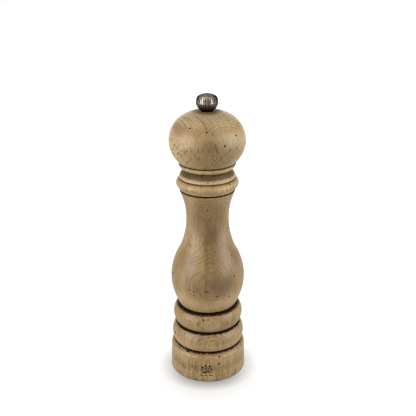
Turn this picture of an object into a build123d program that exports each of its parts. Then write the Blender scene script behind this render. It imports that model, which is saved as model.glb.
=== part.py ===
"""Pepper mill with a turned wooden body, a turned wooden head and a steel grinding mechanism.

Millimetres. +Z is up and the origin is the centre of the foot, on the surface the mill stands on.
The head turns a square shaft, which turns a conical rotor inside a fixed stator. The knob on top is
a nut: tightening it draws the shaft and the rotor up and grinds finer, against a coil spring.
"""
import os
from math import cos, pi, radians, sin

from build123d import *

os.makedirs("parts", exist_ok=True)

# ---------------------------------------------------------------- driving dimensions
height = 219.2  # to the crown of the knob
seam_z = 165.0  # where the head meets the body
seam_gap = 0.1

# turned outside of the body, as (radius, height) pairs
foot_r = 29.3
foot_edge = 0.6
foot_edge_bulge = 0.18
plinth_top = (28.8, 18.9)
plinth_lip = (26.7, 22.7)
plinth_shoulder = 0.7
groove_low = (24.0, 24.0)
bead_low_start = (26.7, 25.3)
bead_low_end = (25.3, 38.7)
bead_low_bulge = 1.9
groove_mid = (22.6, 40.0)
bead_high_start = (24.7, 41.3)
bead_high_end = (24.6, 54.3)
bead_high_bulge = 2.15
groove_high = (20.6, 55.6)
vase = [  # belly, waist and flare, one smooth curve
    (22.3, 56.9),
    (25.0, 62.9),
    (27.6, 72.5),
    (27.95, 81.5),
    (24.85, 94.6),
    (20.1, 104.4),
    (16.06, 121.9),
    (17.4, 139.0),
    (20.6, 148.5),
]
groove_under_collar = (20.0, 149.3)
collar_start = (21.1, 150.4)
collar_end = (21.6, 157.2)
collar_bulge = 1.6
groove_over_collar = (19.9, 158.0)
rim_start = (20.75, 158.9)
rim_end = (20.6, 159.8)
mouth_break = 0.3  # small chamfer where the rim meets the head
mouth_edge = (16.6, seam_z - mouth_break)
mouth_bulge = 0.35

# turned outside of the head
ring_start = (17.9, seam_z + seam_gap)
ring_end = (20.9, 168.8)
ring_bulge = 0.8
groove_over_ring = (20.2, 169.6)
ball = [
    (21.2, 170.4),
    (25.4, 176.1),
    (27.7, 184.1),
    (26.6, 192.8),
    (22.4, 199.8),
    (13.0, 205.7),
]
head_top_z = 207.2
head_flat_r = 6.4

# inside of the wood
recess_r = 23.6  # hollow under the foot
recess_z = 7.2
mechanism_r = 17.0
mechanism_z = 25.0
bridge_room_r = 16.2
bridge_room_z = 34.5
chamber_r = 12.0  # peppercorns
mouth_chamfer = 0.7
spigot_r = 11.75  # head's tenon in the chamber's mouth
spigot_z = 156.7
head_bore_r = 4.3

# shaft: square bar, round and threaded at the top, riveted over at the bottom
shaft_side = 5.0
shaft_corner = 0.3
shaft_square_top = 200.0
thread_r = 2.5
thread_top = 216.0
shaft_chamfer = 0.5
rivet_r = 3.9
rivet_t = 1.2
rivet_fillet = 0.6
square_fit = 0.12  # clearance on each side of the square bar

# grinding mechanism
plate_t = 1.2
plate_r = 23.2
plate_hole_r = 14.4
plate_screw_r = 20.3  # pitch circle
screw_count = 3
stator_r = 16.95
teeth_z = 14.0  # fine teeth below, feed ribs above
tooth_land = 0.3  # share of the pitch that is flat at a tooth's tip
fine_gap = 0.45
rotor_bottom = 7.6
rotor_top = 21.5
rotor_wide_r = 13.0
rotor_mid_r = 10.7
rotor_neck_r = 6.2
fine_teeth = 30
fine_depth = 0.7
fine_twist = 14.0
feed_ribs = 5
feed_step = 0.3  # from the fine teeth in to the ribs
feed_depth = 1.9
feed_fade = 0.85  # how much of their depth the ribs lose on the way up
feed_twist = 50.0
feed_sections = 4
stator_teeth = 36
stator_depth = 0.7
stator_ribs = 12
stator_rib_depth = 0.9
stator_rib_start = 0.18  # their depth where they begin, over the fine teeth
stator_rib_twist = 20.0
stator_step = 0.1  # from the fine teeth out to the funnel
stator_mouth_r = 14.2
washer_t = 1.0
rotor_washer_r = 5.2
edge_break = 0.2  # chamfer on the rims of washers and plates
stator_edge = 0.3

# bridge over the stator, with the shaft's lower guide
bridge_width = 8.0
bridge_fit = 0.05
bridge_t = 1.5
bridge_bottom = 30.4
bridge_leg_r = 14.9  # outside of its legs
bridge_foot_r = 16.9  # its feet are held down by the wood's shoulder
bridge_bend = 0.9
bridge_boss_r = 6.3
guide_r = 4.6
guide_bore_r = 3.5
guide_flange_r = 5.5
guide_flange_t = 0.6

# thrust washer, spring and its seat, between the bridge and the rotor
thrust_r = 6.3
thrust_t = 1.1
seat_r = 6.1
seat_t = 0.8
spring_r = 4.9  # to the middle of the wire
wire_r = 0.45
spring_turns = 3.5

# drive plate under the head
drive_r = 10.6
drive_t = 1.5
drive_screw_r = 7.6

# knob, the washer under it and the bush in the head
knob_bottom = 206.9
knob_side = [(4.6, knob_bottom), (6.85, 210.1), (7.95, 213.0), (7.2, 216.4), (5.7, 217.9)]
knob_flutes = 28
flute_path_points = [(6.2, 207.6), (8.05, 212.9), (6.9, 217.6)]  # runs out at both ends
flute_r = 0.45
insert_r = 3.6
insert_top = 217.4
thread_fit = 0.05
knob_washer_r = 5.5
knob_washer_hole_r = 2.9
knob_washer_fit = 0.15
bush_r = head_bore_r
bush_bore_r = 3.7
bush_length = 14.0

# wood screws
screw_head_r = 2.6
screw_head_t = 1.2
screw_head_chamfer = 0.5
screw_shank_r = 1.4
screw_length = 12.0
screw_point = 3.0
screw_slot = 0.6
screw_fit = 0.03
screw_hole_r = 1.6  # in the plates


def bead(start, end, bulge):
    """A convex arc of a turned outline, from start up to end."""
    return SagittaArc(start, end, -bulge)


def toothed(count, tip_r, root_r, turn):
    """Corners of a toothed ring: each tooth has a short land at its tip and a sharp root."""
    corners = []
    for tooth in range(count):
        land_start, land_end = (1 - tooth_land) / 2, (1 + tooth_land) / 2
        for share, radius in ((0.0, root_r), (land_start, tip_r), (land_end, tip_r)):
            angle = radians(turn) + 2 * pi * (tooth + share) / count
            corners.append((radius * cos(angle), radius * sin(angle)))
    return corners


def toothed_section(z, count, tip_r, root_r, turn=0.0):
    """One toothed section of a loft, at height z."""
    with BuildSketch(Plane.XY.offset(z)) as section:
        with BuildLine():
            Polyline(*toothed(count, tip_r, root_r, turn), close=True)
        make_face()
    return section.sketch


# ---------------------------------------------------------------- body
with BuildPart() as body:
    with BuildSketch(Plane.XZ):
        with BuildLine():
            Line((recess_r, 0), (foot_r - foot_edge, 0))
            bead((foot_r - foot_edge, 0), (foot_r, foot_edge), foot_edge_bulge)
            Line((foot_r, foot_edge), plinth_top)
            bead(plinth_top, plinth_lip, plinth_shoulder)
            Polyline(plinth_lip, groove_low, bead_low_start)
            bead(bead_low_start, bead_low_end, bead_low_bulge)
            Polyline(bead_low_end, groove_mid, bead_high_start)
            bead(bead_high_start, bead_high_end, bead_high_bulge)
            Polyline(bead_high_end, groove_high, vase[0])
            Spline(vase)
            Polyline(vase[-1], groove_under_collar, collar_start)
            bead(collar_start, collar_end, collar_bulge)
            Polyline(collar_end, groove_over_collar, rim_start, rim_end)
            bead(rim_end, mouth_edge, mouth_bulge)
            Polyline(
                mouth_edge,
                (mouth_edge[0] - mouth_break, seam_z),
                (chamber_r + mouth_chamfer, seam_z),
                (chamber_r, seam_z - mouth_chamfer),
                (chamber_r, bridge_room_z),
                (bridge_room_r, bridge_room_z),
                (bridge_room_r, mechanism_z),
                (mechanism_r, mechanism_z),
                (mechanism_r, recess_z),
                (recess_r, recess_z),
                (recess_r, 0),
            )
        make_face()
    revolve(axis=Axis.Z)
    # screws of the retaining plate
    with BuildSketch(Plane.XY.offset(recess_z)):
        with PolarLocations(plate_screw_r, screw_count):
            Circle(screw_shank_r + screw_fit)
    extrude(amount=screw_length, mode=Mode.SUBTRACT)
body.part.label = "body"
export_step(body.part, "parts/body.step")

# ---------------------------------------------------------------- head and its bush
washer_seat_z = knob_bottom - washer_t

with BuildPart() as head:
    with BuildSketch(Plane.XZ):
        with BuildLine():
            Line((spigot_r, seam_z + seam_gap), ring_start)
            bead(ring_start, ring_end, ring_bulge)
            Polyline(ring_end, groove_over_ring, ball[0])
            Spline([*ball, (head_flat_r, head_top_z)])
            Polyline(
                (head_flat_r, head_top_z),
                (knob_washer_r + knob_washer_fit, head_top_z),
                (knob_washer_r + knob_washer_fit, washer_seat_z),
                (head_bore_r, washer_seat_z),
                (head_bore_r, spigot_z),
                (spigot_r - mouth_chamfer, spigot_z),
                (spigot_r, spigot_z + mouth_chamfer),
                (spigot_r, seam_z + seam_gap),
            )
        make_face()
    revolve(axis=Axis.Z)
    # screws of the drive plate
    with BuildSketch(Plane.XY.offset(spigot_z)):
        with PolarLocations(drive_screw_r, screw_count):
            Circle(screw_shank_r + screw_fit)
    extrude(amount=screw_length, mode=Mode.SUBTRACT)
head.part.label = "head"
export_step(head.part, "parts/head.step")

with BuildPart() as head_bush:
    with BuildSketch(Plane.XY.offset(washer_seat_z)):
        Circle(bush_r)
        Circle(bush_bore_r, mode=Mode.SUBTRACT)
    extrude(amount=-bush_length)
head_bush.part.label = "head_bush"
export_step(head_bush.part, "parts/head_bush.step")

# ---------------------------------------------------------------- knob, its threaded insert and washer
with BuildPart() as knob:
    with BuildSketch(Plane.XZ):
        with BuildLine():
            Line((0, knob_bottom), knob_side[0])
            Spline(knob_side)
            TangentArc((0, height), knob_side[-1], tangent=(1, 0))
            Line((0, height), (0, knob_bottom))
        make_face()
    revolve(axis=Axis.Z)
    with BuildLine(Plane.XZ) as flute_path:
        ThreePointArc(*flute_path_points)
    with BuildSketch(Plane(flute_path.line @ 0, z_dir=flute_path.line % 0)) as flute_section:
        Circle(flute_r)
    flute = sweep(flute_section.sketch, flute_path.line, mode=Mode.PRIVATE)
    with PolarLocations(0, knob_flutes):
        add(flute, mode=Mode.SUBTRACT)
    # seat of the threaded insert
    with BuildSketch(Plane.XY.offset(knob_bottom)):
        RegularPolygon(insert_r, 6)
    extrude(amount=insert_top - knob_bottom, mode=Mode.SUBTRACT)
knob.part.label = "knob"
export_step(knob.part, "parts/knob.step")

with BuildPart() as knob_insert:
    with BuildSketch(Plane.XY.offset(knob_bottom)):
        RegularPolygon(insert_r, 6)
        Circle(thread_r + thread_fit, mode=Mode.SUBTRACT)
    extrude(amount=insert_top - knob_bottom)
knob_insert.part.label = "knob_insert"
export_step(knob_insert.part, "parts/knob_insert.step")

with BuildPart() as knob_washer:
    with BuildSketch(Plane.XY.offset(washer_seat_z)):
        Circle(knob_washer_r)
        Circle(knob_washer_hole_r, mode=Mode.SUBTRACT)
    extrude(amount=washer_t)
    chamfer(knob_washer.faces().sort_by(Axis.Z)[-1].edges(), edge_break)
knob_washer.part.label = "knob_washer"
export_step(knob_washer.part, "parts/knob_washer.step")

# ---------------------------------------------------------------- shaft
square_hole = shaft_side + 2 * square_fit
rivet_top = rotor_bottom - washer_t

with BuildPart() as shaft:
    with BuildSketch(Plane.XY.offset(rivet_top - rivet_t)):
        Circle(rivet_r)
    extrude(amount=rivet_t)
    fillet(shaft.edges().sort_by(Axis.Z)[0], rivet_fillet)
    with BuildSketch(Plane.XY.offset(rivet_top)):
        RectangleRounded(shaft_side, shaft_side, shaft_corner)
    extrude(amount=shaft_square_top - rivet_top)
    with BuildSketch(Plane.XY.offset(shaft_square_top)):
        Circle(thread_r)
    extrude(amount=thread_top - shaft_square_top)
    chamfer(shaft.edges().sort_by(Axis.Z)[-1], shaft_chamfer)
shaft.part.label = "shaft"
export_step(shaft.part, "parts/shaft.step")

# ---------------------------------------------------------------- drive plate and its screws
drive_bottom = spigot_z - drive_t

with BuildPart() as drive_plate:
    with BuildSketch(Plane.XY.offset(drive_bottom)):
        Circle(drive_r)
        Rectangle(square_hole, square_hole, mode=Mode.SUBTRACT)
        with PolarLocations(drive_screw_r, screw_count):
            Circle(screw_hole_r, mode=Mode.SUBTRACT)
    extrude(amount=drive_t)
    chamfer(drive_plate.faces().sort_by(Axis.Z)[0].outer_wire().edges(), edge_break)
drive_plate.part.label = "drive_plate"
export_step(drive_plate.part, "parts/drive_plate.step")


# one slotted wood screw, its head's underside at height 0 and its point up
with BuildPart() as wood_screw:
    with BuildSketch(Plane.XZ):
        with BuildLine():
            Polyline(
                (0, -screw_head_t),
                (screw_head_r - screw_head_chamfer, -screw_head_t),
                (screw_head_r, screw_head_chamfer - screw_head_t),
                (screw_head_r, 0),
                (screw_shank_r, 0),
                (screw_shank_r, screw_length - screw_point),
                (0, screw_length - screw_fit),
                close=True,
            )
        make_face()
    revolve(axis=Axis.Z)
    with BuildSketch(Plane.XY.offset(-screw_head_t)):
        Rectangle(2 * screw_head_r, screw_slot)
    extrude(amount=screw_slot, mode=Mode.SUBTRACT)

with BuildPart() as drive_plate_screws:
    with Locations((0, 0, drive_bottom)):
        with PolarLocations(drive_screw_r, screw_count):
            add(wood_screw.part)
drive_plate_screws.part.label = "drive_plate_screws"
export_step(drive_plate_screws.part, "parts/drive_plate_screws.step")

# ---------------------------------------------------------------- rotor and its washer
rotor_taper = (rotor_wide_r - rotor_mid_r) / (teeth_z - rotor_bottom)

with BuildPart() as rotor:
    # fine teeth
    add(toothed_section(rotor_bottom, fine_teeth, rotor_wide_r, rotor_wide_r - fine_depth))
    add(toothed_section(teeth_z, fine_teeth, rotor_mid_r, rotor_mid_r - fine_depth, fine_twist))
    loft(ruled=True)
    # feed ribs, which catch and crack the corns
    ribs_r = rotor_mid_r - fine_depth - feed_step
    for section in range(feed_sections + 1):
        share = section / feed_sections
        tip = ribs_r + (rotor_neck_r - ribs_r) * share
        root = tip - feed_depth * (1 - share * feed_fade)
        z = teeth_z + (rotor_top - teeth_z) * share
        add(toothed_section(z, feed_ribs, tip, root, feed_twist * share))
    loft(ruled=True)
    # square hole for the shaft
    with BuildSketch(Plane.XY.offset(rotor_bottom)):
        Rectangle(square_hole, square_hole)
    extrude(amount=rotor_top - rotor_bottom, mode=Mode.SUBTRACT)
rotor.part.label = "rotor"
export_step(rotor.part, "parts/rotor.step")

with BuildPart() as rotor_washer:
    with BuildSketch(Plane.XY.offset(rotor_bottom - washer_t)):
        Circle(rotor_washer_r)
        Rectangle(square_hole, square_hole, mode=Mode.SUBTRACT)
    extrude(amount=washer_t)
    chamfer(rotor_washer.faces().sort_by(Axis.Z)[0].outer_wire().edges(), edge_break)
rotor_washer.part.label = "rotor_washer"
export_step(rotor_washer.part, "parts/rotor_washer.step")

# ---------------------------------------------------------------- stator
stator_wide_r = rotor_wide_r + fine_gap + (rotor_bottom - recess_z) * rotor_taper
stator_mid_r = rotor_mid_r + fine_gap
rim_notch = bridge_width + 2 * bridge_fit

with BuildPart() as stator:
    with BuildSketch(Plane.XY.offset(recess_z)):
        Circle(stator_r)
    extrude(amount=mechanism_z - recess_z)
    chamfer(stator.edges().filter_by(GeomType.CIRCLE), stator_edge)
    # fine teeth, facing the rotor's
    add(toothed_section(recess_z, stator_teeth, stator_wide_r + stator_depth, stator_wide_r))
    add(toothed_section(teeth_z, stator_teeth, stator_mid_r + stator_depth, stator_mid_r, -fine_twist))
    loft(ruled=True, mode=Mode.SUBTRACT)
    # funnel with slanting ribs
    funnel_r = stator_mid_r + stator_depth + stator_step
    add(toothed_section(teeth_z, stator_ribs, funnel_r + stator_rib_start, funnel_r))
    mouth_root_r = stator_mouth_r - stator_rib_depth
    add(toothed_section(mechanism_z, stator_ribs, stator_mouth_r, mouth_root_r, stator_rib_twist))
    loft(ruled=True, mode=Mode.SUBTRACT)
    # notches for the bridge's feet
    with BuildSketch(Plane.XY.offset(mechanism_z)):
        Rectangle(2 * stator_r, rim_notch)
    extrude(amount=-bridge_t, mode=Mode.SUBTRACT)
stator.part.label = "stator"
export_step(stator.part, "parts/stator.step")

# ---------------------------------------------------------------- bridge and its guide bush
bridge_top = bridge_bottom + bridge_t
bridge_foot_z = mechanism_z - bridge_t
leg_inside = bridge_leg_r - bridge_t

with BuildPart() as bridge:
    with BuildSketch(Plane.XZ) as strap:
        with BuildLine():
            Polyline(
                (0, bridge_top),
                (bridge_leg_r, bridge_top),
                (bridge_leg_r, mechanism_z),
                (bridge_foot_r, mechanism_z),
                (bridge_foot_r, bridge_foot_z),
                (leg_inside, bridge_foot_z),
                (leg_inside, bridge_bottom),
                (0, bridge_bottom),
                close=True,
            )
        make_face()
        mirror(about=Plane.YZ)
    extrude(amount=bridge_width / 2, both=True)
    fillet(bridge.edges().filter_by(Axis.Y).group_by(Axis.Z)[-1], bridge_bend)
    # rounded feet, inside the wood's bore
    with BuildSketch(Plane.XY.offset(bridge_foot_z)):
        Circle(bridge_foot_r)
    extrude(amount=bridge_top - bridge_foot_z, mode=Mode.INTERSECT)
    # eye for the guide bush
    with BuildSketch(Plane.XY.offset(bridge_bottom)):
        Circle(bridge_boss_r)
    extrude(amount=bridge_t)
    with BuildSketch(Plane.XY.offset(bridge_bottom)):
        Circle(guide_r)
    extrude(amount=bridge_t, mode=Mode.SUBTRACT)
bridge.part.label = "bridge"
export_step(bridge.part, "parts/bridge.step")

with BuildPart() as bridge_bush:
    with BuildSketch(Plane.XY.offset(bridge_bottom)):
        Circle(guide_r)
    extrude(amount=bridge_t)
    with BuildSketch(Plane.XY.offset(bridge_top)):
        Circle(guide_flange_r)
    extrude(amount=guide_flange_t)
    chamfer(bridge_bush.edges().sort_by(Axis.Z)[-1], edge_break)
    with BuildSketch(Plane.XY.offset(bridge_bottom)):
        Circle(guide_bore_r)
    extrude(amount=bridge_t + guide_flange_t, mode=Mode.SUBTRACT)
bridge_bush.part.label = "bridge_bush"
export_step(bridge_bush.part, "parts/bridge_bush.step")

# ---------------------------------------------------------------- thrust washer, spring and its seat
thrust_bottom = bridge_bottom - thrust_t
seat_top = rotor_top + seat_t

with BuildPart() as thrust_washer:
    with BuildSketch(Plane.XY.offset(thrust_bottom)):
        Circle(thrust_r)
        Rectangle(square_hole, square_hole, mode=Mode.SUBTRACT)
    extrude(amount=thrust_t)
thrust_washer.part.label = "thrust_washer"
export_step(thrust_washer.part, "parts/thrust_washer.step")

with BuildPart() as spring_seat:
    with BuildSketch(Plane.XY.offset(rotor_top)):
        Circle(seat_r)
        Rectangle(square_hole, square_hole, mode=Mode.SUBTRACT)
    extrude(amount=seat_t)
spring_seat.part.label = "spring_seat"
export_step(spring_seat.part, "parts/spring_seat.step")

with BuildPart() as spring:
    with BuildLine() as coil:
        Helix(
            pitch=(thrust_bottom - seat_top - 2 * wire_r) / spring_turns,
            height=thrust_bottom - seat_top - 2 * wire_r,
            radius=spring_r,
            center=(0, 0, seat_top + wire_r),
        )
    with BuildSketch(Plane(coil.line @ 0, z_dir=coil.line % 0)):
        Circle(wire_r)
    sweep(path=coil.line)
spring.part.label = "spring"
export_step(spring.part, "parts/spring.step")

# ---------------------------------------------------------------- retaining plate and its screws
with BuildPart() as retaining_plate:
    with BuildSketch(Plane.XY.offset(recess_z - plate_t)):
        Circle(plate_r)
        Circle(plate_hole_r, mode=Mode.SUBTRACT)
        with PolarLocations(plate_screw_r, screw_count):
            Circle(screw_hole_r, mode=Mode.SUBTRACT)
    extrude(amount=plate_t)
    chamfer(retaining_plate.faces().sort_by(Axis.Z)[0].outer_wire().edges(), edge_break)
retaining_plate.part.label = "retaining_plate"
export_step(retaining_plate.part, "parts/retaining_plate.step")

with BuildPart() as retaining_plate_screws:
    with Locations((0, 0, recess_z - plate_t)):
        with PolarLocations(plate_screw_r, screw_count):
            add(wood_screw.part)
retaining_plate_screws.part.label = "retaining_plate_screws"
export_step(retaining_plate_screws.part, "parts/retaining_plate_screws.step")
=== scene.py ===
import random
from math import atan2, cos, degrees, hypot, pi, radians, sin, sqrt, tau

import bpy
from mathutils import Euler, Matrix, Vector
from mathutils.geometry import interpolate_bezier


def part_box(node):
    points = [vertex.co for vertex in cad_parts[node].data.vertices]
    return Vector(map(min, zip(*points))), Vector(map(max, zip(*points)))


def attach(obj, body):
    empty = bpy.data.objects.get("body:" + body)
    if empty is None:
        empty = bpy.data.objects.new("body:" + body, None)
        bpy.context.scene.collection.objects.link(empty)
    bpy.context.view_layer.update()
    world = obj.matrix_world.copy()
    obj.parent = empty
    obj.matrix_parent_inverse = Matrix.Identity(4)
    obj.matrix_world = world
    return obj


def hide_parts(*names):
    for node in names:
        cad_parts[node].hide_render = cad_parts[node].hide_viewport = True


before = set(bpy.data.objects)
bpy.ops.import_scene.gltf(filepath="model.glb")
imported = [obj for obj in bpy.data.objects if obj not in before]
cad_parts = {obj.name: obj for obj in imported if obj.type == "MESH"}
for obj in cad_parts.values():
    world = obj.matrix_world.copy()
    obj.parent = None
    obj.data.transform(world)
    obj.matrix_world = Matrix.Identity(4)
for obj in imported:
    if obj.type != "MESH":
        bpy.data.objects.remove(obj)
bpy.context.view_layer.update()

# ---------------------------------------------------------------- driving dimensions
# Lengths are in millimetres and are scaled by MM, which follows the frame's own size.
BODY_HEIGHT = 165.0
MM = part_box("body")[1][2] / BODY_HEIGHT
TURNING_STEPS = 240  # facets round a turned surface
WELD = 0.001  # points nearer than this are one point
SEAM = 165.1  # underside of the head's ring
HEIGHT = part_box("knob")[1][2] / MM


# ---------------------------------------------------------------- outlines
def arc(start, end, bulge, steps=10):
    """Points of a turned arc after its start. It bulges away from the axis on the way up."""
    (r0, z0), (r1, z1) = start, end
    half = hypot(r1 - r0, z1 - z0) / 2
    along_r, along_z = (r1 - r0) / (2 * half), (z1 - z0) / (2 * half)
    centre_depth = (half**2 - bulge**2) / (2 * bulge)
    radius = centre_depth + bulge
    sweep = 2 * atan2(half, centre_depth)
    points = []
    for step in range(1, steps + 1):
        angle = sweep * (step / steps - 0.5)
        forward, outward = radius * sin(angle), radius * cos(angle) - centre_depth
        r = (r0 + r1) / 2 + along_r * forward + along_z * outward
        z = (z0 + z1) / 2 + along_z * forward - along_r * outward
        points.append((r, z))
    return points


def smooth(points, steps=8):
    """Points of one smooth curve through the given ones, after the first."""
    knots = [Vector((r, z, 0)) for r, z in points]
    lengths = [(b - a).length for a, b in zip(knots, knots[1:])]
    slopes = [(b - a) / length for a, b, length in zip(knots, knots[1:], lengths)]
    tangents = [slopes[0]]
    for i in range(1, len(slopes)):
        before, after = lengths[i - 1], lengths[i]
        tangents.append((slopes[i - 1] * after + slopes[i] * before) / (before + after))
    tangents.append(slopes[-1])
    curve = []
    for i, length in enumerate(lengths):
        handle_a = knots[i] + tangents[i] * length / 3
        handle_b = knots[i + 1] - tangents[i + 1] * length / 3
        run = interpolate_bezier(knots[i], handle_a, handle_b, knots[i + 1], steps + 1)
        curve += [(p.x, p.y) for p in run[1:]]
    return curve


BELLY = [  # radius and height of points up the belly and the neck
    (22.3, 56.9),
    (25.0, 62.9),
    (27.6, 72.5),
    (27.95, 81.5),
    (24.85, 94.6),
    (20.1, 104.4),
    (16.06, 121.9),
    (17.4, 139.0),
    (20.6, 148.5),
]
BALL = [  # the same up the head's ball
    (21.2, 170.4),
    (25.4, 176.1),
    (27.7, 184.1),
    (26.6, 192.8),
    (22.4, 199.8),
    (13.0, 205.7),
    (6.4, 207.2),
]


def body_outside():
    """The body's turned outline from the foot up to its mouth."""
    return (
        [(28.7, 0.0)]
        + arc((28.7, 0.0), (29.3, 0.6), 0.18, 4)
        + [(29.1, 8.0), (28.9, 15.0), (28.8, 18.9)]
        + arc((28.8, 18.9), (26.7, 22.7), 0.7, 8)
        + [(26.3, 23.05), (24.0, 24.0), (26.4, 25.0)]
        + arc((26.4, 25.0), (25.3, 38.7), 2.0, 16)
        + [(25.0, 39.05), (22.6, 40.0), (24.4, 40.95)]
        + arc((24.4, 40.95), (24.6, 54.3), 2.25, 16)
        + [(24.25, 54.6), (20.6, 55.6), (22.0, 56.65), (22.3, 56.9)]
        + smooth(BELLY, 8)
        + [(20.3, 149.0), (20.0, 149.35), (20.6, 149.75)]
        + arc((20.6, 149.75), (21.15, 151.1), 0.25, 4)
        + arc((21.25, 151.15), (21.6, 157.2), 1.6, 14)
        + [(21.3, 157.45), (19.9, 158.0), (20.4, 158.45)]
        + arc((20.4, 158.45), (20.5, 160.0), 0.35, 6)
        + [(20.15, 160.2)]
        + arc((20.15, 160.2), (16.6, 164.7), 0.45, 10)
    )


def body_inside():
    """The bores, from the mouth down to the hollow under the foot."""
    return [
        (16.3, 165.0),
        (12.7, 165.0),
        (12.0, 164.3),
        (12.0, 150.0),
        (12.0, 110.0),
        (12.0, 70.0),
        (12.0, 34.5),
        (16.2, 34.5),
        (16.2, 25.0),
        (17.0, 25.0),
        (17.0, 7.2),
        (23.3, 7.2),
        (23.6, 6.9),
        (23.6, 0.4),
        (24.0, 0.0),
    ]


def head_outside():
    """The head's turned outline from its underside up to the flat under the knob."""
    return (
        [(17.9, SEAM)]
        + arc((17.9, SEAM), (20.9, 168.8), 0.8, 12)
        + [(20.7, 169.1), (20.2, 169.55), (20.75, 169.95)]
        + smooth([(20.75, 169.95)] + BALL, 9)
    )


def head_inside():
    """The washer's seat, the shaft's bore and the tenon, from the top down."""
    return [
        (5.85, 207.2),
        (5.65, 207.0),
        (5.65, 205.9),
        (4.3, 205.9),
        (4.3, 157.2),
        (4.8, 156.7),
        (11.05, 156.7),
        (11.75, 157.4),
        (11.75, SEAM),
    ]


# ---------------------------------------------------------------- modelling helpers
def start_edit(obj):
    """Make obj the only selected and active object, and edit it with nothing selected."""
    bpy.ops.object.select_all(action="DESELECT")
    obj.select_set(True)
    bpy.context.view_layer.objects.active = obj
    bpy.ops.object.mode_set(mode="EDIT")
    bpy.ops.mesh.select_all(action="DESELECT")


def settle(obj):
    """Leave edit mode and put the object's place into its mesh."""
    if obj.mode == "EDIT":
        bpy.ops.object.mode_set(mode="OBJECT")
    bpy.ops.object.select_all(action="DESELECT")
    obj.select_set(True)
    bpy.context.view_layer.objects.active = obj
    bpy.ops.object.transform_apply(location=True, rotation=True, scale=True)


def apply_modifier(obj, kind, **settings):
    """Add a modifier with these settings, and apply it at once."""
    bpy.context.view_layer.objects.active = obj
    bpy.ops.object.modifier_add(type=kind)
    modifier = obj.modifiers[-1]
    for name, value in settings.items():
        setattr(modifier, name, value)
    bpy.ops.object.modifier_apply(modifier=modifier.name)


def joined(pieces, name):
    """Join pieces into one object of this name."""
    bpy.ops.object.select_all(action="DESELECT")
    for piece in pieces:
        piece.select_set(True)
    bpy.context.view_layer.objects.active = pieces[0]
    bpy.ops.object.join()
    pieces[0].name = name
    settle(pieces[0])
    return pieces[0]


def turn(name, outline, steps=TURNING_STEPS, closed=True):
    """Draw an outline of (radius, height) pairs with one point, and spin it about the mill's axis."""
    bpy.ops.object.select_all(action="DESELECT")
    r, z = outline[0]
    bpy.ops.mesh.primitive_plane_add(size=MM, location=(r * MM, 0, z * MM))
    obj = bpy.context.object
    obj.name = name
    bpy.ops.object.transform_apply(location=True)
    bpy.ops.object.mode_set(mode="EDIT")
    bpy.ops.mesh.select_all(action="SELECT")
    bpy.ops.mesh.merge(type="CENTER")
    for next_r, next_z in outline[1:] + ([outline[0]] if closed else []):
        step = ((next_r - r) * MM, 0, (next_z - z) * MM)
        bpy.ops.mesh.extrude_region_move(TRANSFORM_OT_translate={"value": step})
        r, z = next_r, next_z
    bpy.ops.mesh.select_all(action="SELECT")
    bpy.ops.mesh.remove_doubles(threshold=WELD * MM)
    bpy.ops.mesh.spin(steps=steps, angle=tau, axis=(0, 0, 1), center=(0, 0, 0))
    bpy.ops.mesh.select_all(action="SELECT")
    bpy.ops.mesh.remove_doubles(threshold=WELD * MM)
    bpy.ops.mesh.normals_make_consistent(inside=False)
    settle(obj)
    return obj


def shade(obj, angle=32):
    """Smooth shading, with edges left sharp where the surface turns by more than the angle."""
    bpy.ops.object.select_all(action="DESELECT")
    obj.select_set(True)
    bpy.context.view_layer.objects.active = obj
    bpy.ops.object.shade_smooth_by_angle(angle=radians(angle))


# ---------------------------------------------------------------- dents, holes and the stamp
def surface_at(outline, height):
    """Radius of a turned outline at a height, and the slope of its surface there."""
    for (r0, z0), (r1, z1) in zip(outline, outline[1:]):
        if z0 <= height <= z1 and z1 > z0:
            share = (height - z0) / (z1 - z0)
            return r0 + (r1 - r0) * share, atan2(r0 - r1, z1 - z0)
    raise ValueError(f"the outline has no height {height}")


def facing(outline, height, azimuth, sink):
    """Place and turn of something on a turned surface: azimuth 0 is the front, +X is to the right.

    Its own +Y points out of the surface, +Z up along it and +X to the left.
    """
    radius, slope = surface_at(outline, height)
    turn_z = radians(azimuth) + pi
    outward = Vector((sin(radians(azimuth)), -cos(radians(azimuth)), 0))
    place = outward * (radius - sink) * MM + Vector((0, 0, height * MM))
    return Matrix.Translation(place) @ Euler((slope, 0, turn_z), "XYZ").to_matrix().to_4x4()


HOLE_ROUGHNESS = 0.13  # how far a cutter's points stray from a ball
HOLE_SINK = 0.1  # how far in its middle lies, as a share of its depth


def hollow(outline, height, azimuth, width, tall, depth, lean, chance):
    """Cutter of one wormhole, dent or stroke: a rough ball squeezed to its width, height and depth."""
    bpy.ops.mesh.primitive_ico_sphere_add(subdivisions=2, radius=0.5 * MM)
    ball = bpy.context.object
    for vertex in ball.data.vertices:
        vertex.co *= 1 + chance.uniform(-HOLE_ROUGHNESS, HOLE_ROUGHNESS)
    ball.matrix_world = (
        facing(outline, height, azimuth, HOLE_SINK * depth)
        @ Matrix.Rotation(radians(lean), 4, "Y")
        @ Matrix.Diagonal((width, 2 * depth, tall, 1))
    )
    return ball


def carve(obj, cutters):
    """Cut hollows out of a turned piece. What they leave gets the piece's second material."""
    tool = joined(cutters, f"{obj.name}_cutter")
    start_edit(tool)
    bpy.ops.mesh.select_all(action="SELECT")
    bpy.ops.mesh.normals_make_consistent(inside=False)
    settle(tool)
    for face in tool.data.polygons:
        face.material_index = 1
    bpy.ops.object.select_all(action="DESELECT")
    apply_modifier(obj, "BOOLEAN", object=tool, operation="DIFFERENCE", solver="MANIFOLD")
    bpy.data.objects.remove(tool)


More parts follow.
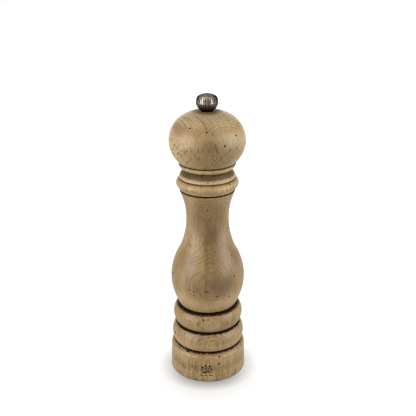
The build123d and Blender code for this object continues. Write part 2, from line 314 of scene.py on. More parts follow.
# where each mark of the finish is, as a height and an azimuth, then its width, height, depth and lean
HEAD_MARKS = [
    (205.1, -28, 1.2, 0.9, 1.1, 10),
    (204.9, 31, 1.2, 0.9, 1.1, 0),
    (199.3, -31, 1.6, 1.2, 1.4, 20),
    (197.5, -1, 1.2, 1.2, 1.1, 0),
    (196.3, 8, 0.7, 1.04, 0.39, 30),
    (193.5, 49, 1.8, 1.5, 1.4, -30),
    (188.2, 26, 1.2, 2, 1.6, -8),
    (206.1, -112, 1.1, 1.1, 1.1, 0),
    (199.4, 75, 1.1, 1.4, 1.1, 20),
    (186.6, -56, 0.8, 1.6, 0.8, 12),
    (184.5, -50, 0.7, 1.4, 0.7, 0),
    (181.3, -48, 0.7, 1.8, 0.7, 18),
    (179.4, -42, 0.7, 1.1, 0.6, 0),
    (186.4, 13.5, 1.6, 0.45, 0.33, -25),
]
BODY_MARKS = [
    (160.0, 1, 1.1, 0.8, 0.9, 0),
    (157.1, 47, 1.5, 1.2, 1, 25),
    (138.1, 1, 1.2, 0.9, 0.9, 0),
    (131.9, -37, 0.8, 0.7, 0.6, 0),
    (139.9, 61, 0.8, 0.8, 0.6, 0),
    (119.8, 63, 0.9, 1.1, 0.8, 0),
    (109.0, -44, 1.2, 1.2, 0.9, 15),
    (100.2, 54, 1.5, 1.2, 1.1, 20),
    (86.3, 46, 1.2, 1.5, 0.9, 0),
    (84.3, -69, 1.9, 1.2, 0.9, 0),
    (77.7, -29, 3.4, 0.65, 0.6, 14),
    (77.0, -22, 2.6, 0.55, 0.5, 18),
    (78.0, -2.5, 2.4, 0.75, 0.7, 6),
    (77.8, 4, 0.7, 0.52, 0.45, 0),
    (73.6, -22, 1.7, 0.7, 0.55, 30),
    (73.4, 14, 1.5, 1.2, 1.3, 0),
    (73.3, 26, 1.2, 0.8, 1, -20),
    (70.6, 37, 1.5, 0.9, 0.7, -10),
    (52.4, -8, 0.9, 2.3, 1.1, 32),
    (49.0, -15, 0.7, 1.4, 0.7, -12),
    (48.4, 1, 0.5, 1.2, 0.6, 0),
    (36.7, -43, 0.7, 1.8, 0.8, 35),
    (32.5, -68, 1.2, 2.3, 1, -25),
    (22.6, -36, 2.2, 1.6, 1.1, 0),
    (21.2, 18, 1.4, 1.2, 1.1, 15),
    (15.4, 16.5, 1.4, 1.2, 0.8, 40),
    (14.5, 17.5, 1.1, 0.7, 0.7, 0),
    (20.9, 68, 1.1, 1.4, 0.9, 25),
    (21.2, 56, 1.6, 0.65, 0.39, 0),
]

STAMP_PLACE = (10.3, -2.4)  # height and azimuth of its middle
STAMP_DEPTH = 0.4
# a sprig of peppercorns over a plain broken line: across, up, width, height and lean of each stroke
STAMP = [
    (0.0, -1.9, 0.8, 3.6, 0),
    (-0.3, 1.0, 0.75, 3.2, 6),
    (-1.7, -2.0, 3.3, 1.25, 32),
    (1.7, -1.4, 3.3, 1.25, -32),
    (-1.5, 1.2, 0.65, 3.0, -48),
    (1.2, 1.6, 0.65, 3.0, 44),
    (-3.0, 2.4, 1.8, 1.8, 0),
    (-0.6, 3.8, 1.8, 1.8, 0),
    (2.5, 3.2, 1.8, 1.8, 0),
    (-3.7, 0.2, 1.4, 1.4, 0),
    (3.5, 0.8, 1.4, 1.4, 0),
    (-3.6, -4.8, 3.0, 0.8, 0),
    (0.0, -5.0, 3.0, 0.8, 0),
    (3.6, -4.8, 3.0, 0.8, 0),
]


def stamp_marks(outline):
    """The stamp's strokes as marks: height, azimuth, width, height, depth and lean."""
    height, azimuth = STAMP_PLACE
    radius, _ = surface_at(outline, height)
    marks = []
    for across, up, width, tall, lean in STAMP:
        turned = azimuth + degrees(across / radius)
        marks.append((height + up, turned, width, tall, STAMP_DEPTH, lean))
    return marks


BACK_AZIMUTHS = (80, 280)
HOLE_SIZES = (0.5, 1.1)
HOLE_SHAPES = (0.8, 1.6)  # height over width
HOLE_LEAN = 35
BODY_CHANCE_MARKS = {"low": 60, "high": 150, "count": 22, "seed": 3}
HEAD_CHANCE_MARKS = {"low": 175, "high": 203, "count": 14, "seed": 5}


def marks_all_round(marks, outline, low, high, count, seed):
    """Cutters of the listed marks, and of count more by chance on the sides and the back."""
    chance = random.Random(seed)
    cutters = [hollow(outline, *mark, chance) for mark in marks]
    for _ in range(count):
        height, azimuth = chance.uniform(low, high), chance.uniform(*BACK_AZIMUTHS)
        width, depth = chance.uniform(*HOLE_SIZES), chance.uniform(*HOLE_SIZES)
        tall = width * chance.uniform(*HOLE_SHAPES)
        lean = chance.uniform(-HOLE_LEAN, HOLE_LEAN)
        cutters.append(hollow(outline, height, azimuth, width, tall, depth, lean, chance))
    return cutters


# ---------------------------------------------------------------- shader kit
class Number:
    """A number in a material. Arithmetic on it adds Math nodes."""

    def __init__(self, kit, socket):
        self.kit = kit
        self.socket = socket

    def math(self, operation, *others, clamp=False):
        inputs = dict(enumerate((self, *others)))
        settings = {"operation": operation, "use_clamp": clamp}
        return self.kit.number("ShaderNodeMath", settings, inputs)

    def __add__(self, other):
        return self.math("ADD", other)

    def __sub__(self, other):
        return self.math("SUBTRACT", other)

    def __rsub__(self, other):
        return (self * -1) + other

    def __mul__(self, other):
        return self.math("MULTIPLY", other)

    def __truediv__(self, other):
        return self.math("DIVIDE", other)

    def __pow__(self, other):
        return self.math("POWER", other)

    __radd__ = __add__
    __rmul__ = __mul__

    def between(self, low, high):
        """0 below low and 1 above high, with a smooth step between them. low may be above high."""
        settings = {"interpolation_type": "SMOOTHSTEP"}
        inputs = {"Value": self, "From Min": low, "From Max": high}
        if low > high:
            inputs.update({"From Min": high, "From Max": low, "To Min": 1.0, "To Max": 0.0})
        return self.kit.number("ShaderNodeMapRange", settings, inputs, "Result")

    def larger(self, other):
        return self.math("MAXIMUM", other)


class Shader:
    """One procedural material and the nodes in it."""

    def __init__(self, name, **constants):
        self.material = bpy.data.materials.new(name)
        self.material.use_nodes = True
        self.tree = self.material.node_tree
        self.surface = self.tree.nodes["Principled BSDF"]
        for socket, value in constants.items():
            self.surface.inputs[socket.replace("_", " ")].default_value = value

    def node(self, kind, settings, inputs):
        """Add a node: its settings first, then a value or a link for each named socket."""
        node = self.tree.nodes.new(kind)
        for name, value in settings.items():
            if name == "stops":
                self.set_stops(node.color_ramp, value)
            else:
                setattr(node, name, value)
        for name, value in inputs.items():
            self.feed(node.inputs[name], value)
        return node

    def set_stops(self, ramp, stops):
        while len(ramp.elements) < len(stops):
            ramp.elements.new(1.0)
        for element, (position, color) in zip(ramp.elements, stops):
            element.position = position
            element.color = (*color, 1.0)

    def feed(self, socket, value):
        if isinstance(value, Number):
            value = value.socket
        if isinstance(value, bpy.types.NodeSocket):
            self.tree.links.new(value, socket)
        else:
            socket.default_value = value

    def number(self, kind, settings, inputs, output=0):
        return Number(self, self.node(kind, settings, inputs).outputs[output])

    def set(self, socket, value):
        self.feed(self.surface.inputs[socket], value)

    def place(self):
        """Object coordinates in millimetres."""
        coordinates = self.node("ShaderNodeTexCoord", {}, {}).outputs["Object"]
        return self.scaled(coordinates, 1 / MM)

    def facing(self):
        """The three parts of the direction that the surface faces."""
        return self.split(self.node("ShaderNodeTexCoord", {}, {}).outputs["Normal"])

    def scaled(self, vector, factor):
        if isinstance(factor, tuple):
            inputs = {0: vector, 1: factor}
            return self.node("ShaderNodeVectorMath", {"operation": "MULTIPLY"}, inputs).outputs[0]
        inputs = {0: vector, "Scale": factor}
        return self.node("ShaderNodeVectorMath", {"operation": "SCALE"}, inputs).outputs[0]

    def split(self, vector):
        node = self.node("ShaderNodeSeparateXYZ", {}, {"Vector": vector})
        return [Number(self, output) for output in node.outputs]

    def vector(self, x, y, z):
        return self.node("ShaderNodeCombineXYZ", {}, {"X": x, "Y": y, "Z": z}).outputs[0]

    def noise(self, vector, detail=2.0, roughness=0.5, distortion=0.0):
        inputs = {
            "Vector": vector,
            "Scale": 1.0,
            "Detail": detail,
            "Roughness": roughness,
            "Distortion": distortion,
        }
        return self.number("ShaderNodeTexNoise", {}, inputs, "Fac")

    def mix(self, factor, a, b, blend="MIX"):
        settings = {"data_type": "RGBA", "blend_type": blend}
        return self.node("ShaderNodeMix", settings, {0: factor, 6: a, 7: b}).outputs[2]

    def ramp(self, value, stops):
        return self.node("ShaderNodeValToRGB", {"stops": stops}, {"Fac": value}).outputs["Color"]

    def bump(self, height, distance, strength=1.0):
        inputs = {"Height": height, "Distance": distance * MM, "Strength": strength}
        self.set("Normal", self.node("ShaderNodeBump", {}, inputs).outputs["Normal"])


def srgb(red, green, blue):
    """An 8-bit colour as linear values."""
    channels = [value / 255 for value in (red, green, blue)]
    return tuple(c / 12.92 if c <= 0.04045 else ((c + 0.055) / 1.055) ** 2.4 for c in channels)


# ---------------------------------------------------------------- materials
BODY_PITH = (-1.0, 78.0, 0.04)  # the tree's centre from the axis, and how the grain leans with height
HEAD_PITH = (-62.0, 90.0, 0.03)
PITH_HEIGHT = 72.0  # the height at which the tree's centre is there
BODY_RINGS = (1.3, 0.2)  # from one growth ring to the next, and how strong they are on the sides
HEAD_RINGS = (1.9, 0.04)
RAY_SPACING = 2.1
BODY_SIDE_LIGHT_AND_TONE = (0.05, -0.1)  # painted light on the wood's left and right sides, and how much paler it is all over
HEAD_SIDE_LIGHT_AND_TONE = (0.3, 0.0)

WOOD_COLORS = [(0.1, srgb(116, 88, 52)), (0.5, srgb(178, 147, 100)), (0.9, srgb(208, 181, 136))]
OIL_AND_SHADE_COLOR = (*srgb(104, 80, 46), 1)
FLECK_COLOR = (*srgb(80, 58, 32), 1)
STAIN_COLOR = (*srgb(22, 12, 6), 1)

# lowest and highest point of the stain in each groove, its strength, and how ragged its edge is
BODY_STAINS = [
    (22.9, 25.45, 1.0, 1.1),
    (38.8, 41.4, 1.0, 1.1),
    (54.6, 57.1, 1.0, 1.1),
    (148.45, 149.75, 1.0, 0.55),
    (157.6, 158.3, 0.75, 0.4),
    (161.0, 165.5, 0.62, 1.8),
]
HEAD_STAINS = [
    (150.0, 165.6, 0.5, 0.3),
    (168.9, 169.95, 0.9, 0.4),
    (206.5, 208.0, 0.6, 0.4),
]
# lowest and highest point, and the strength of broad and of fine flecks there
BODY_FLECKS = [(-6.0, 20.0, 0.95, 0.7), (149.0, 160.0, 0.5, 0.9), (24.0, 56.0, 0.2, 0.4)]
HEAD_FLECKS = [(158.0, 196.0, 0.0, 1.0)]
# lowest and highest point of wood that is paler all round, by how much, and how softly it ends. The bands
# on the collar and on the head's ring are painted light where the parts above overhang and shade them.
BODY_PALE_AND_LIT = [
    # painted light: these three bands lighten the collar, which the head overhangs and shades
    (154.5, 157.6, 0.27, 0.6),
    (149.8, 154.5, 0.1, 0.6),
    (158.3, 160.4, 0.5, 0.6),
    (58.0, 71.0, 0.2, 5.0),
    (25.5, 31.0, 0.14, 1.5),
    (14.0, 22.8, 0.1, 2.0),
    (1.0, 8.0, 0.17, 2.0),
]
# its first band is painted light on the ring that the head's ball overhangs and shades
HEAD_PALE_AND_LIT = [(164.5, 168.9, 0.17, 0.6), (200.0, 212.0, 0.27, 2.0)]

# soft dark patches on the front, mostly painted shade where the side lights reach least, with some darker
# oil: across, height, half width, half height and strength
BODY_OIL_AND_SHADE = [
    (1.0, 130.0, 15.0, 21.0, 0.6),
    (4.0, 107.0, 9.0, 19.0, 0.5),
    (11.0, 83.0, 11.0, 9.0, 0.3),
    (-17.0, 97.0, 5.0, 12.0, 0.25),
    (20.0, 88.0, 5.0, 16.0, 0.25),
    (-1.0, 95.0, 1.6, 26.0, 0.25),
    (0.0, 80.0, 20.0, 15.0, 0.42),
    (16.0, 97.0, 6.0, 17.0, 0.3),
    (6.0, 80.0, 13.0, 9.0, 0.1),
    (-25.0, 86.0, 6.0, 22.0, 0.3),
]
HEAD_OIL_AND_SHADE = [
    (5.0, 181.0, 24.0, 12.0, 0.5),
    (2.0, 192.0, 7.0, 12.0, 0.25),
    (-20.0, 197.0, 6.0, 5.0, 0.3),
]


def growth_rings(kit, depth, along_ring, z, end_grain, rings):
    """A thin line of darker late wood at the end of each year."""
    spacing, side_strength = rings
    year = (depth / spacing).math("FRACT")
    late_wood = year.between(0.55, 0.93) * year.between(1.0, 0.95)
    broken = kit.noise(kit.vector(along_ring * 0.5, depth * 0.8, z * 0.3), detail=2.0)
    return late_wood * (0.02 + broken.between(0.35, 0.65) * side_strength + end_grain * 0.34)


def ray_lines(kit, depth, along_ring, end_grain):
    """Rays are thin upright sheets, which end grain shows as lines."""
    wander = kit.noise(kit.vector(along_ring * 0.35, depth * 0.01, 0.0), detail=2.0)
    sheet = (along_ring / RAY_SPACING + wander * 3.0).math("FRACT")
    return sheet.between(0.72, 0.88) * sheet.between(1.0, 0.9) * end_grain * 0.65


def ray_flecks(kit, depth, along_ring, z, end_grain, fleck_zones):
    """The same rays on flat-sawn sides: short dark flecks, broad and fine."""
    broad_place = kit.vector(along_ring * 1.5, depth * 0.25, z * 0.18)
    broad_flecks = kit.noise(broad_place, detail=1.0, roughness=0.4).between(0.54, 0.68)
    fine_place = kit.vector(along_ring * 2.4, depth * 0.3, z * 0.3)
    fine_flecks = kit.noise(fine_place, detail=1.0, roughness=0.5).between(0.52, 0.68)
    broad_zone, fine_zone = 0.1, 0.2
    for low, high, broad, fine in fleck_zones:
        zone = z.between(low, low + 5) * z.between(high, high - 8)
        broad_zone, fine_zone = (zone * broad).larger(broad_zone), (zone * fine).larger(fine_zone)
    both = broad_flecks * broad_zone * 0.5 + fine_flecks * fine_zone * 0.7
    return both * (1 - end_grain * 0.8)


def oil_and_front_shade(x, y, z, patches, oil_and_shade_patches):
    """How dark the patches on the front are: mostly painted shade where the side lights reach least, with
    some darker oil. They are on the front only.
    """
    darkened = None
    for across, height, half_width, half_height, strength in oil_and_shade_patches:
        from_middle = ((x - across) / half_width) ** 2 + ((z - height) / half_height) ** 2
        patch_dark = from_middle.between(1.2, 0.0) * strength
        darkened = patch_dark if darkened is None else darkened + patch_dark
    return darkened * y.between(0.0, -8.0) * (0.6 + patches * 0.8)


def groove_stain(kit, x, y, z, fibres, stains):
    """Stain in the grooves, with a ragged lower edge where it ran along the fibres."""
    angle = x.math("ARCTAN2", y)
    ragged = kit.noise(kit.vector(angle * 42.0, z * 0.2, 0.0), detail=3.0, roughness=0.75) - 0.5
    stain = None
    for low, high, strength, rag in stains:
        edge = z + ragged * (2.6 * rag)
        band = edge.between(low - 0.4, low + 0.4) * z.between(high + 0.1, high - 0.1) * strength
        stain = band if stain is None else stain.larger(band)
    return stain * (0.8 + fibres * 0.35)


def wood(name, pith, rings, side_light_and_tone, stains, fleck_zones, pale_and_lit_bands, oil_and_shade_patches):
    """Oiled beech: growth rings round the pith, rays that run out from it, fine fibres and stain. Its
    colour also holds painted light on the sides and on some pale bands, and painted shade on the front.
    """
    kit = Shader(name, Specular_IOR_Level=0.05, Coat_Roughness=0.36)
    place = kit.place()
    x, y, z = kit.split(place)
    sideways, _, upward = kit.facing()
    end_grain = upward.math("ABSOLUTE").between(0.35, 0.9)
    slow = kit.noise(kit.scaled(place, (0.06, 0.06, 0.014)), detail=2.0)
    patches = kit.noise(kit.scaled(place, (0.07, 0.07, 0.035)), detail=3.0, roughness=0.55)
    streaks = kit.noise(kit.scaled(place, (0.55, 0.55, 0.012)), detail=2.0, roughness=0.5)
    fibres = kit.noise(kit.scaled(place, (1.5, 1.5, 0.05)), detail=3.0, roughness=0.7)

    # distance from the pith, and distance along a ring
    across_x, across_y = x - pith[0], y - pith[1] - (z - PITH_HEIGHT) * pith[2]
    depth = (across_x * across_x + across_y * across_y) ** 0.5 + (slow - 0.5) * 5.0
    along_ring = across_x.math("ARCTAN2", across_y) * hypot(pith[0], pith[1])
    ring_lines = growth_rings(kit, depth, along_ring, z, end_grain, rings)
    rays = ray_lines(kit, depth, along_ring, end_grain)
    flecks = ray_flecks(kit, depth, along_ring, z, end_grain, fleck_zones)

    tone = 0.5 + (patches - 0.5) * 0.5 + (streaks - 0.5) * 0.35 + (fibres - 0.5) * 0.5 - ring_lines
    painted_side_light, paler_all_over = side_light_and_tone
    # painted light: wood that faces left and right is paler, as if lit by the side lights
    tone = tone + sideways * sideways * painted_side_light + paler_all_over
    # some of these bands are painted light where parts above overhang and shade the wood
    for low, high, amount, soft in pale_and_lit_bands:
        tone = tone + z.between(low - soft, low + soft) * z.between(high + soft, high - soft) * amount
    # mostly painted shade on the front, with some darker oil
    color = kit.mix(oil_and_front_shade(x, y, z, patches, oil_and_shade_patches), kit.ramp(tone, WOOD_COLORS), OIL_AND_SHADE_COLOR)
    color = kit.mix(flecks.larger(rays), color, FLECK_COLOR)
    stain = groove_stain(kit, x, y, z, fibres, stains)
    kit.set("Base Color", kit.mix(stain, color, STAIN_COLOR))

    # lacquer over the wood, worn off where the stain is and thin over the flecks
    kit.set("Roughness", 0.6 + stain * 0.3)
    kit.set("Coat Weight", (1 - stain) * (0.95 - flecks * 0.4))
    kit.bump(fibres * 0.6 - flecks * 0.8 - ring_lines * 0.4, 0.05, 0.6)
    return kit.material


def pit_wood(name):
    """Dark stained wood inside the wormholes, the dents and the stamp."""
    kit = Shader(name, Specular_IOR_Level=0.3)
    grain = kit.noise(kit.scaled(kit.place(), (2.5, 2.5, 0.8)), detail=3.0)
    kit.set("Base Color", kit.ramp(grain, [(0.3, srgb(12, 8, 5)), (0.8, srgb(38, 26, 16))]))
    kit.set("Roughness", 0.75 + grain * 0.2)
    kit.bump(grain, 0.1, 0.5)
    return kit.material


def knob_metal():
    """Antique dark metal: ridges bright from rubbing over a brown-black patina, a rough crown, and painted
    shade towards the underside.
    """
    kit = Shader("knob_metal", Metallic=1.0)
    place = kit.place()
    x, y, z = kit.split(place)
    flute = (y.math("ARCTAN2", x) * (KNOB_FLUTES / 2)).math("COSINE").math("ABSOLUTE")
    patina = kit.noise(kit.scaled(place, (0.9, 0.9, 0.4)), detail=4.0, roughness=0.65)
    rough = kit.noise(kit.scaled(place, 0.8), detail=3.0, roughness=0.6)
    crown = z.between(CROWN_LOW, FLUTE_HIGH)
    # painted shade: the knob's colour is darker towards its underside
    height = z.between(*KNOB_UNDERSIDE) * 0.7 + 0.3
    mottle = kit.noise(kit.scaled(place, 0.9), detail=2.0, roughness=0.7).between(0.4, 0.6)
    wear_and_painted_shade = flute.between(0.3, 0.6) * height * (1 - crown) + crown * mottle
    wear_and_painted_shade = wear_and_painted_shade * (0.85 + patina * 0.3)
    kit.set("Base Color", kit.ramp(wear_and_painted_shade, [(0.0, srgb(42, 31, 20)), (0.95, srgb(117, 110, 100))]))
    kit.set("Roughness", 0.15 + patina * 0.08 + crown * 0.12)
    kit.bump(rough * crown, 0.8, 0.9)
    return kit.material


def worked_metal(name, dark, bright, roughness, turned=True, wear=0.3):
    """Bare metal with fine tool marks, round the axis or straight across, and a few dull patches."""
    kit = Shader(name, Metallic=1.0)
    place = kit.place()
    x, y, z = kit.split(place)
    if turned:
        radius = (x * x + y * y) ** 0.5
        marks = kit.noise(kit.vector(radius * 9.0, z * 9.0, 0.0), detail=3.0, roughness=0.7)
    else:
        marks = kit.noise(kit.scaled(place, (9.0, 0.5, 6.0)), detail=3.0, roughness=0.7)
    dull = kit.noise(kit.scaled(place, 0.35), detail=4.0, roughness=0.65)
    tone = 0.5 + (marks - 0.5) * 0.6 + (dull - 0.5) * wear * 2.0
    kit.set("Base Color", kit.ramp(tone, [(0.2, dark), (0.8, bright)]))
    kit.set("Roughness", roughness + (marks - 0.5) * 0.2 + (dull - 0.5) * wear)
    kit.bump(marks, 0.02, 0.5)
    return kit.material


def dress_mechanism():
    """Give the carried-over metal parts their finishes."""
    washer = worked_metal("washer_steel", srgb(118, 117, 115), srgb(176, 175, 173), 0.3)
    brass = worked_metal("bush_brass", srgb(140, 104, 48), srgb(206, 168, 96), 0.3)
    plate = worked_metal("plate_steel", srgb(130, 131, 132), srgb(190, 191, 193), 0.28, turned=False)
    screw = worked_metal("screw_steel", srgb(112, 108, 100), srgb(186, 182, 172), 0.3)
    burr = worked_metal("burr_steel", srgb(48, 48, 52), srgb(104, 105, 110), 0.38, wear=0.5)
    spring = worked_metal("spring_steel", srgb(88, 88, 90), srgb(150, 150, 153), 0.26)
    insert = worked_metal("insert_steel", srgb(126, 125, 122), srgb(188, 187, 184), 0.25)
    finishes = {
        washer: ["knob_washer", "rotor_washer", "thrust_washer", "spring_seat"],
        brass: ["head_bush", "bridge_bush"],
        plate: ["drive_plate", "bridge", "retaining_plate"],
        screw: ["drive_plate_screws", "retaining_plate_screws"],
        burr: ["rotor", "stator"],
        spring: ["spring"],
        insert: ["knob_insert"],
    }
    for material, nodes in finishes.items():
        for node in nodes:
            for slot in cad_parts[node].material_slots:
                slot.material = material


# ---------------------------------------------------------------- pieces
def make_body():
    """The bored, turned body with its marks and its stamp."""
    outside = body_outside()
    body = turn("turned_body", outside + body_inside())
    patterns = (BODY_STAINS, BODY_FLECKS, BODY_PALE_AND_LIT, BODY_OIL_AND_SHADE)
    body.data.materials.append(wood("body_wood", BODY_PITH, BODY_RINGS, BODY_SIDE_LIGHT_AND_TONE, *patterns))
    body.data.materials.append(pit_wood("body_pits"))
    marks = BODY_MARKS + stamp_marks(outside)
    carve(body, marks_all_round(marks, outside, **BODY_CHANCE_MARKS))
    shade(body)
    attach(body, "mill_body")
    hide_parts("body")


def make_head():
    """The turned ball with its tenon and its marks."""
    outside = head_outside()
    head = turn("turned_head", outside + head_inside())
    patterns = (HEAD_STAINS, HEAD_FLECKS, HEAD_PALE_AND_LIT, HEAD_OIL_AND_SHADE)
    head.data.materials.append(wood("head_wood", HEAD_PITH, HEAD_RINGS, HEAD_SIDE_LIGHT_AND_TONE, *patterns))
    head.data.materials.append(pit_wood("head_pits"))
    carve(head, marks_all_round(HEAD_MARKS, outside, **HEAD_CHANCE_MARKS))
    shade(head)
    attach(head, "turning_head")
    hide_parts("head")


KNOB_BOTTOM = 206.92  # just clear of the washer
KNOB_SIDE = [
    (4.6, KNOB_BOTTOM),
    (7.0, 209.9),
    (7.9, 212.3),
    (7.75, 214.9),
    (7.05, 216.8),
    (5.7, 217.9),
]
CROWN_RADII = (4.8, 3.9, 2.9, 1.9, 1.0, 0.0)
CROWN_LOW = 217.0  # where the rough crown starts to show
KNOB_UNDERSIDE = (207.5, 210.5)  # between these heights the painted shade on the knob's underside fades out
KNOB_BORE = 3.6
KNOB_FLUTES = 28
FLUTE_STEPS = 8  # facets across one flute
FLUTE_DEPTH = 0.24
FLUTE_LAND = 0.5  # the rest of each step is the flat top of the ridge
FLUTE_LOW = 207.4
FLUTE_HIGH = 217.9
FLUTE_FADE = 1.2  # height over which a flute runs out at either end
FLUTE_INSIDE = 4.5  # nothing nearer to the axis than this is fluted


def make_knob():
    """The fluted ball that sets the grind, with a rounded crown and a bore for its insert."""
    side = [KNOB_SIDE[0]] + smooth(KNOB_SIDE, 7)
    rise = HEIGHT - side[-1][1]
    crown_radius = (side[-1][0] ** 2 + rise**2) / (2 * rise)
    crown = []
    for r in CROWN_RADII:
        crown.append((r, HEIGHT - crown_radius + sqrt(crown_radius**2 - r * r)))
    insert_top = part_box("knob_insert")[1][2] / MM
    bore = [(0.0, insert_top), (KNOB_BORE, insert_top), (KNOB_BORE, KNOB_BOTTOM)]
    knob = turn("fluted_knob", side + crown + bore, KNOB_FLUTES * FLUTE_STEPS)
    for vertex in knob.data.vertices:
        z, radius = vertex.co.z / MM, hypot(vertex.co.x, vertex.co.y) / MM
        if radius < FLUTE_INSIDE:
            continue
        fade = min(1.0, max(0.0, (z - FLUTE_LOW) / FLUTE_FADE))
        fade *= min(1.0, max(0.0, (FLUTE_HIGH - z) / FLUTE_FADE))
        wave = abs(cos(KNOB_FLUTES / 2 * atan2(vertex.co.y, vertex.co.x)))
        shrink = 1 - FLUTE_DEPTH * fade * max(0.0, 1 - wave / FLUTE_LAND) / radius
        vertex.co.x *= shrink
        vertex.co.y *= shrink
    knob.data.materials.append(knob_metal())
    shade(knob, 40)
    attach(knob, "adjuster")
    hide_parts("knob")


SHAFT_SIDE = 5.0
SHAFT_CORNER = 0.3
SHAFT_TOP = 200.0  # end of the square part
THREAD_R = 2.5
THREAD_PITCH = 0.8
THREAD_DEPTH = 0.4
THREAD_START = 202.5
THREAD_STEPS = 8  # rows of facets in one turn of the thread
THREAD_FACETS = 48
END_CHAMFER = 0.5
RIVET_R = 3.9
RIVET_ROUND = 0.6
RIVET_PIN_R = 2.0
RIVET_FACETS = 64
END_OVERLAP = 2.0  # how far the two turned ends run into the bar


def make_shaft():
    """Square bar with a screw thread turned on its top and a riveted end under the rotor."""
    low, high = (corner[2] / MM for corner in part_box("shaft"))
    rivet_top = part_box("rotor_washer")[0][2] / MM
    bpy.ops.object.select_all(action="DESELECT")
    middle = (rivet_top + SHAFT_TOP) / 2
    bpy.ops.mesh.primitive_cube_add(size=SHAFT_SIDE * MM, location=(0, 0, middle * MM))
    bar = bpy.context.object
    bar.scale.z = (SHAFT_TOP - rivet_top) / SHAFT_SIDE
    settle(bar)
    apply_modifier(bar, "BEVEL", width=SHAFT_CORNER * MM, segments=3)

    rise = THREAD_PITCH / THREAD_STEPS
    rows = int((high - END_CHAMFER - THREAD_START) / rise)
    outline = [(0.0, SHAFT_TOP - END_OVERLAP), (THREAD_R, SHAFT_TOP - END_OVERLAP)]
    outline += [(THREAD_R, THREAD_START + row * rise) for row in range(rows + 1)]
    outline += [(THREAD_R - END_CHAMFER, high), (0.0, high)]
    screw = turn("shaft_thread", outline, THREAD_FACETS, closed=False)
    thread_end = THREAD_START + rows * rise
    for vertex in screw.data.vertices:
        z, radius = vertex.co.z / MM, hypot(vertex.co.x, vertex.co.y) / MM
        if radius < THREAD_R - 0.1 or z < THREAD_START:
            continue
        turned = z / THREAD_PITCH - atan2(vertex.co.y, vertex.co.x) / tau
        valley = 1 - abs(2 * (turned % 1) - 1)
        lead_in = (z - THREAD_START) / THREAD_PITCH
        run_out = max(0.0, (thread_end - z) / THREAD_PITCH) + 0.5
        fade = min(1.0, lead_in, run_out)
        shrink = 1 - THREAD_DEPTH * fade * min(1.0, valley * 1.2) / radius
        vertex.co.x *= shrink
        vertex.co.y *= shrink

    rivet_edge = RIVET_R - RIVET_ROUND
    pin_top = rivet_top + END_OVERLAP
    outline = [(0.0, low), (rivet_edge, low)]
    outline += arc((rivet_edge, low), (RIVET_R, low + RIVET_ROUND), 0.18, 6)
    outline += [(RIVET_R, rivet_top), (RIVET_PIN_R, rivet_top), (RIVET_PIN_R, pin_top), (0.0, pin_top)]
    rivet = turn("shaft_rivet", outline, RIVET_FACETS, closed=False)
    for part in (screw, rivet):
        bpy.ops.object.select_all(action="DESELECT")
        apply_modifier(bar, "BOOLEAN", object=part, operation="UNION", solver="MANIFOLD")
        bpy.data.objects.remove(part)
    bar.name = "threaded_shaft"
    bar.data.materials.clear()
    finish = worked_metal("shaft_steel", srgb(128, 127, 126), srgb(196, 195, 193), 0.26, turned=False)
    bar.data.materials.append(finish)
    shade(bar, 35)
    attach(bar, "spindle")
    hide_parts("shaft")


# ---------------------------------------------------------------- studio
FLOOR_SIZE = 6.0
FLOOR_WHITES = [(0.3, (0.91, 0.91, 0.91)), (0.7, (0.93, 0.93, 0.93))]
FLOOR_BOUNCE = 0.42  # the floor is paler to the eye than to the mill, as if flags kept its light off
# painted shadow of the mill on the floor: distance from the axis, and the floor's tone there
CONTACT_SHADE = [(0.029, 0.58), (0.033, 0.64), (0.041, 0.96), (0.06, 1.0)]
SHADE_SCALE = 10  # spreads these distances over a colour ramp
SHADE_FRONT = (0.3, 1.0)  # cosine of the angle from the front, from where the shade grows to its full
SHADE_AT_SIDE = 0.45  # share of the shade that is left to the sides of the mill

BOX_DISTANCE = 0.8
BOX_CLEARANCE = 0.01  # between a box and the floor
BOX_HEIGHT = 0.6
KNOB_BOX_HEIGHT = 1.7
WORLD_GLOW = 0.06


def side_box(name, azimuth, width, height, watts, lit):
    """A tall soft box that stands beside the mill. Azimuth 0 is the front, and + is to the right."""
    light = bpy.data.lights.new(name, "AREA")
    light.shape = "RECTANGLE"
    light.size, light.size_y = width, height
    light.energy = watts
    place = Vector((sin(radians(azimuth)), -cos(radians(azimuth)), 0)) * BOX_DISTANCE
    place.z = height / 2 + BOX_CLEARANCE
    box = stand_light(name, light, lit)
    box.location = place
    box.rotation_euler = (radians(90), 0, radians(azimuth))


def soft_sky(name, strength, spread, tilt, lit):
    """Even light from above, over a round patch of sky so many degrees wide and tilted to the front."""
    light = bpy.data.lights.new(name, "SUN")
    light.energy = strength
    light.angle = radians(spread)
    stand_light(name, light, lit).rotation_euler = (radians(tilt), 0, 0)


def stand_light(name, light, lit):
    """Put a light into the scene, for the objects in a collection only."""
    obj = bpy.data.objects.new(name, light)
    bpy.context.collection.objects.link(obj)
    obj.light_linking.receiver_collection = lit
    return obj


def receivers(name, *objects, left_out=False):
    """A collection that tells a light which objects it lights, or which ones it leaves out."""
    group = bpy.data.collections.new(name)
    for obj in objects:
        group.objects.link(obj)
    if left_out:
        for member in group.collection_objects:
            member.light_linking.link_state = "EXCLUDE"
    return group


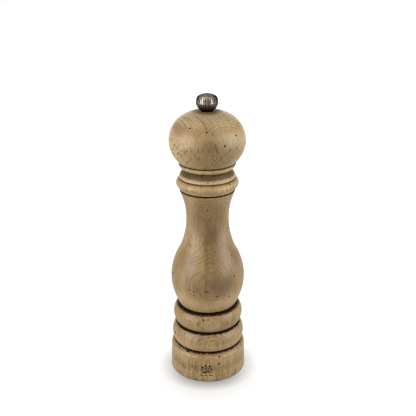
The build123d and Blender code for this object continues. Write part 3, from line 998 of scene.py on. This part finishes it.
def make_floor():
    """A white floor with the mill's soft shadow painted round its foot."""
    bpy.ops.object.select_all(action="DESELECT")
    bpy.ops.mesh.primitive_plane_add(size=FLOOR_SIZE, location=(0, 0, 0))
    floor = bpy.context.object
    floor.name = "floor"
    kit = Shader("floor_paint", Specular_IOR_Level=0.1)
    mottle = kit.noise(kit.scaled(kit.place(), 0.05), detail=2.0)
    white = kit.ramp(mottle, FLOOR_WHITES)
    x, y, _ = kit.split(kit.place())
    reach = (x * x + y * y) ** 0.5 * MM
    shades = [(distance * SHADE_SCALE, (tone, tone, tone)) for distance, tone in CONTACT_SHADE]
    in_front = (y * MM * -1 / reach).between(*SHADE_FRONT) * (1 - SHADE_AT_SIDE) + SHADE_AT_SIDE
    # painted shadow: the floor is darkened round the mill's foot, most in front of it
    white = kit.mix(in_front, white, kit.ramp(reach * SHADE_SCALE, shades), "MULTIPLY")
    seen = kit.number("ShaderNodeLightPath", {}, {}, "Is Camera Ray")
    kit.set("Base Color", kit.mix(seen, (FLOOR_BOUNCE, FLOOR_BOUNCE, FLOOR_BOUNCE, 1), white))
    kit.set("Roughness", 0.7 + mottle * 0.1)
    floor.data.materials.append(kit.material)
    return floor


def light_scene(floor):
    """One soft sky whitens the floor, another with soft boxes lights the wood, and the knob has its own."""
    knob = bpy.data.objects["fluted_knob"]
    floor_only = receivers("floor_only", floor)
    all_but_floor = receivers("all_but_floor", floor, left_out=True)
    wood_lit = receivers("all_but_floor_and_knob", floor, knob, left_out=True)
    knob_only = receivers("knob_only", knob)
    # strength, degrees of sky and tilt
    soft_sky("floor_sky", 4.3, 85, -12, floor_only)
    soft_sky("mill_sky", 1.3, 120, 4, all_but_floor)
    # azimuth, width, height and watts
    side_box("left_box", -60, 0.64, BOX_HEIGHT, 5.2, wood_lit)
    side_box("right_box", 73, 0.8, BOX_HEIGHT, 5.0, wood_lit)
    side_box("back_box", 180, 0.9, BOX_HEIGHT, 2.0, wood_lit)
    side_box("left_knob_box", -56, 0.55, KNOB_BOX_HEIGHT, 23.0, knob_only)
    side_box("right_knob_box", 50, 0.3, KNOB_BOX_HEIGHT, 13.0, knob_only)
    soft_sky("knob_sky", 1.6, 90, -20, knob_only)


def make_world():
    """A white backdrop to the camera, and a faint glow to everything else."""
    world = bpy.data.worlds.new("studio")
    bpy.context.scene.world = world
    world.use_nodes = True
    nodes, links = world.node_tree.nodes, world.node_tree.links
    glow = nodes["Background"]
    glow.inputs["Color"].default_value = (1, 1, 1, 1)
    glow.inputs["Strength"].default_value = WORLD_GLOW
    backdrop = nodes.new("ShaderNodeBackground")
    backdrop.inputs["Color"].default_value = (1, 1, 1, 1)
    mix = nodes.new("ShaderNodeMixShader")
    links.new(nodes.new("ShaderNodeLightPath").outputs["Is Camera Ray"], mix.inputs["Fac"])
    links.new(glow.outputs["Background"], mix.inputs[1])
    links.new(backdrop.outputs["Background"], mix.inputs[2])
    links.new(mix.outputs["Shader"], nodes["World Output"].inputs["Surface"])
    bpy.context.scene.view_settings.view_transform = "Standard"


CAMERA_ASIDE = 0.0004
CAMERA_DISTANCE = 0.4818
CAMERA_HEIGHT = 0.3238
CAMERA_PITCH = 21.59
CAMERA_ROLL = 0.2
CAMERA_LENS = 60.28
SENSOR_WIDTH = 36.0


def make_camera():
    """The camera in front of the mill, a little above it and looking down."""
    camera = bpy.data.objects.new("camera", bpy.data.cameras.new("camera"))
    bpy.context.collection.objects.link(camera)
    camera.data.lens = CAMERA_LENS
    camera.data.sensor_width = SENSOR_WIDTH
    camera.location = (CAMERA_ASIDE, -CAMERA_DISTANCE, CAMERA_HEIGHT)
    pitch = Matrix.Rotation(radians(90 - CAMERA_PITCH), 4, "X")
    roll = Matrix.Rotation(radians(-CAMERA_ROLL), 4, "Z")
    camera.rotation_euler = (pitch @ roll).to_euler()
    bpy.context.scene.camera = camera


make_camera()
make_body()
make_head()
make_knob()
make_shaft()
dress_mechanism()
light_scene(make_floor())
make_world()
